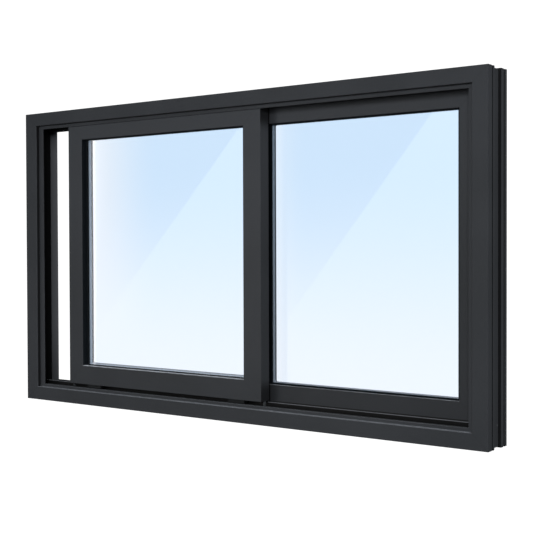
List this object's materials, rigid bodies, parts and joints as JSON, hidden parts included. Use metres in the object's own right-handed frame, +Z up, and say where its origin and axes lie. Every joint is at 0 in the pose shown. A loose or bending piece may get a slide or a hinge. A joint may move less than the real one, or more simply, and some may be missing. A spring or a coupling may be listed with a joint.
{
  "type": "horizontal sliding window",
  "caption": "Horizontal sliding window with a dark powder-coated aluminium frame and double-glazed sashes on tracks; the front sash stands part open.",
  "frame": {"origin": "on the flat front foot of the sill, midway along it, 12 mm behind the front face", "axes": "+X along the sill to the right as seen from the front, +Y from the front face to the back, +Z up"},
  "size_m": [1.81, 0.12, 1.03],
  "materials": {
    "frame_coat": "satin anthracite powder coat",
    "sash_coat": "satin anthracite powder coat",
    "track_coat": "satin anthracite powder coat, worn smooth by the rollers",
    "glass": "clear float glass",
    "spacer_metal": "matt bluish grey",
    "gasket_rubber": "matt black",
    "housing_plastic": "matt black",
    "roller_nylon": "smooth grey nylon",
    "guide_nylon": "smooth grey nylon"
  },
  "bodies": {
    "root": {"frame_head": "frame_coat", "frame_sill": "frame_coat", "frame_jamb_left": "frame_coat", "frame_jamb_right": "frame_coat", "front_track": "track_coat", "back_track": "track_coat", "front_head_guide": "track_coat", "back_head_guide": "track_coat", "left_sash_top_rail": "sash_coat", "left_sash_bottom_rail": "sash_coat", "left_sash_jamb_stile": "sash_coat", "left_sash_meeting_stile": "sash_coat", "left_sash_front_pane": "glass", "left_sash_back_pane": "glass", "left_sash_spacer_bar": "spacer_metal", "left_sash_front_gasket": "gasket_rubber", "left_sash_back_gasket": "gasket_rubber", "left_sash_left_roller_housing": "housing_plastic", "left_sash_left_roller": "roller_nylon", "left_sash_left_guide_block": "housing_plastic", "left_sash_left_corner_guide": "guide_nylon", "left_sash_right_roller_housing": "housing_plastic", "left_sash_right_roller": "roller_nylon", "left_sash_right_guide_block": "housing_plastic", "left_sash_right_corner_guide": "guide_nylon", "right_sash_top_rail": "sash_coat", "right_sash_bottom_rail": "sash_coat", "right_sash_jamb_stile": "sash_coat", "right_sash_meeting_stile": "sash_coat", "right_sash_front_pane": "glass", "right_sash_back_pane": "glass", "right_sash_spacer_bar": "spacer_metal", "right_sash_front_gasket": "gasket_rubber", "right_sash_back_gasket": "gasket_rubber", "right_sash_left_roller_housing": "housing_plastic", "right_sash_left_roller": "roller_nylon", "right_sash_left_guide_block": "housing_plastic", "right_sash_left_corner_guide": "guide_nylon", "right_sash_right_roller_housing": "housing_plastic", "right_sash_right_roller": "roller_nylon", "right_sash_right_guide_block": "housing_plastic", "right_sash_right_corner_guide": "guide_nylon"}
  },
  "joints": []
}
